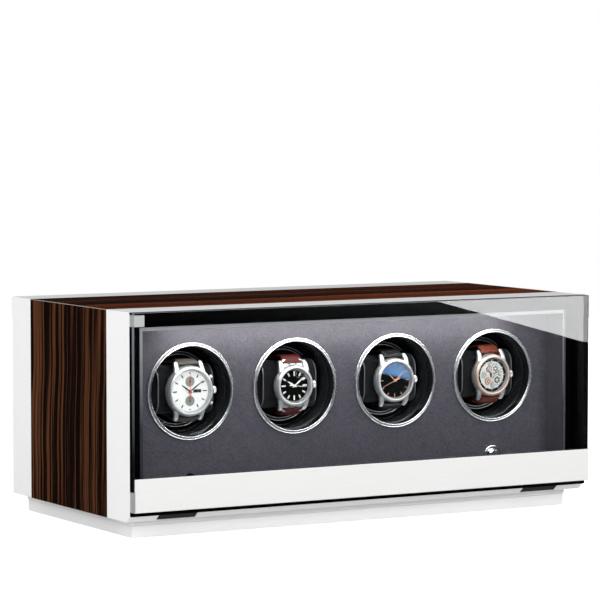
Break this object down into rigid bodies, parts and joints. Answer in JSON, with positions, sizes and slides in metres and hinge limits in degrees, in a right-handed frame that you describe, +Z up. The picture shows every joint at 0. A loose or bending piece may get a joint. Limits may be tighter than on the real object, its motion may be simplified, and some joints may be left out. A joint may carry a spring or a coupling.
{
  "type": "watch winder box",
  "caption": "Glass-fronted cabinet on a plinth that turns watches on cushions in motor-driven cups to keep them wound.",
  "frame": {"origin": "middle of the overall length and depth, on the surface that the feet stand on", "axes": "+X to the right along the cabinet, +Y to the rear, +Z up"},
  "size_m": [0.458, 0.2418, 0.1925],
  "materials": {
    "black_gloss": "glossy black moulding",
    "black_lacquer": "satin black moulding",
    "black_moulding": "fine black texture",
    "black_rubber": "matt",
    "brushed_aluminium": "fine lengthwise brushing, clear anodised",
    "charcoal_suede": "charcoal microfibre suede",
    "circuit_board": "solder mask",
    "clear_glass": "clear float glass with ground edges",
    "cushion_suede": "dark microfibre on foam",
    "led_warm": "opal diffuser",
    "macassar_veneer": "macassar ebony veneer under high-gloss clear lacquer",
    "polished_chrome": "polished chrome",
    "satin_chrome": "satin chrome",
    "steel": "zinc plated",
    "watch_steel": "polished and brushed",
    "white_lacquer": "high-gloss white lacquer on MDF"
  },
  "bodies": {
    "cabinet": {"front_frame": "white_lacquer", "bevel_pads": "black_rubber", "veneered_body": "macassar_veneer", "rear_frame": "white_lacquer", "plinth_cap": "white_lacquer", "plinth": "white_lacquer", "feet": "black_rubber", "fascia": "black_lacquer", "display_liner": "charcoal_suede", "display_panel": "charcoal_suede", "led_strip": "circuit_board", "led_diffuser": "led_warm", "back_panel": "black_moulding", "back_screws": "steel", "power_jack": "black_moulding", "control_board": "circuit_board", "hinge_bracket_lower": "satin_chrome", "hinge_bracket_upper": "satin_chrome", "catch_magnet": "black_moulding", "selector_switch": "polished_chrome", "button_sleeve": "black_gloss", "rotor_bearings": "steel", "gear_motors": "black_moulding", "drive_belts": "black_rubber", "module_screws": "steel", "bezel_ring_1": "polished_chrome", "bezel_ring_2": "polished_chrome", "bezel_ring_3": "polished_chrome", "bezel_ring_4": "polished_chrome", "module_housing_1": "black_gloss", "module_housing_2": "black_gloss", "module_housing_3": "black_gloss", "module_housing_4": "black_gloss"},
    "door": {"door_glass": "clear_glass", "door_rail": "brushed_aluminium", "door_hinge_block": "satin_chrome", "door_clamp": "satin_chrome", "door_strike": "steel"},
    "selector": {"selector_knob": "polished_chrome"},
    "button": {"light_button": "black_gloss"},
    "rotor_1": {"rotor_cup_1": "black_gloss", "rotor_pulley_1": "black_moulding"},
    "motor_drive_1": {"motor_pulley_1": "black_moulding"},
    "watch_holder_1": {"cushion_1": "cushion_suede", "watch_1": "watch_steel"},
    "rotor_2": {"rotor_cup_2": "black_gloss", "rotor_pulley_2": "black_moulding"},
    "motor_drive_2": {"motor_pulley_2": "black_moulding"},
    "watch_holder_2": {"cushion_2": "cushion_suede", "watch_2": "watch_steel"},
    "rotor_3": {"rotor_cup_3": "black_gloss", "rotor_pulley_3": "black_moulding"},
    "motor_drive_3": {"motor_pulley_3": "black_moulding"},
    "watch_holder_3": {"cushion_3": "cushion_suede", "watch_3": "watch_steel"},
    "rotor_4": {"rotor_cup_4": "black_gloss", "rotor_pulley_4": "black_moulding"},
    "motor_drive_4": {"motor_pulley_4": "black_moulding"},
    "watch_holder_4": {"cushion_4": "cushion_suede", "watch_4": "watch_steel"}
  },
  "joints": [
    {"name": "door_hinge", "type": "hinge", "parent": "cabinet", "child": "door", "pos_m": [-0.2275, -0.11365, 0.10435], "axis": [0, 0, -1], "range_deg": [0, 95]},
    {"name": "selector_turn", "type": "hinge", "parent": "cabinet", "child": "selector", "pos_m": [0.1535, -0.0763, 0.0489], "axis": [0, 1, 0], "range_deg": [-60, 60]},
    {"name": "button_press", "type": "slide", "parent": "cabinet", "child": "button", "axis": [0, 1, 0], "range_m": [0, 0.0015], "stiffness_N_per_m": 500, "springref_m": -0.0005},
    {"name": "rotor_spin_1", "type": "hinge", "parent": "cabinet", "child": "rotor_1", "pos_m": [-0.1535, -0.0083, 0.1204], "axis": [0, 1, 0], "continuous": true},
    {"name": "motor_spin_1", "type": "hinge", "parent": "cabinet", "child": "motor_drive_1", "pos_m": [-0.1535, -0.0083, 0.0644], "axis": [0, 1, 0], "continuous": true},
    {"name": "cushion_slide_1", "type": "slide", "parent": "rotor_1", "child": "watch_holder_1", "axis": [0, -1, 0], "range_m": [0, 0.03]},
    {"name": "rotor_spin_2", "type": "hinge", "parent": "cabinet", "child": "rotor_2", "pos_m": [-0.05117, -0.0083, 0.1204], "axis": [0, 1, 0], "continuous": true},
    {"name": "motor_spin_2", "type": "hinge", "parent": "cabinet", "child": "motor_drive_2", "pos_m": [-0.05117, -0.0083, 0.0644], "axis": [0, 1, 0], "continuous": true},
    {"name": "cushion_slide_2", "type": "slide", "parent": "rotor_2", "child": "watch_holder_2", "axis": [0, -1, 0], "range_m": [0, 0.03]},
    {"name": "rotor_spin_3", "type": "hinge", "parent": "cabinet", "child": "rotor_3", "pos_m": [0.05117, -0.0083, 0.1204], "axis": [0, 1, 0], "continuous": true},
    {"name": "motor_spin_3", "type": "hinge", "parent": "cabinet", "child": "motor_drive_3", "pos_m": [0.05117, -0.0083, 0.0644], "axis": [0, 1, 0], "continuous": true},
    {"name": "cushion_slide_3", "type": "slide", "parent": "rotor_3", "child": "watch_holder_3", "axis": [0, -1, 0], "range_m": [0, 0.03]},
    {"name": "rotor_spin_4", "type": "hinge", "parent": "cabinet", "child": "rotor_4", "pos_m": [0.1535, -0.0083, 0.1204], "axis": [0, 1, 0], "continuous": true},
    {"name": "motor_spin_4", "type": "hinge", "parent": "cabinet", "child": "motor_drive_4", "pos_m": [0.1535, -0.0083, 0.0644], "axis": [0, 1, 0], "continuous": true},
    {"name": "cushion_slide_4", "type": "slide", "parent": "rotor_4", "child": "watch_holder_4", "axis": [0, -1, 0], "range_m": [0, 0.03]}
  ],
  "couplings": [
    {"joint": "motor_spin_1", "follows": "rotor_spin_1", "ratio": 4.8},
    {"joint": "motor_spin_2", "follows": "rotor_spin_2", "ratio": 4.8},
    {"joint": "motor_spin_3", "follows": "rotor_spin_3", "ratio": 4.8},
    {"joint": "motor_spin_4", "follows": "rotor_spin_4", "ratio": 4.8}
  ]
}
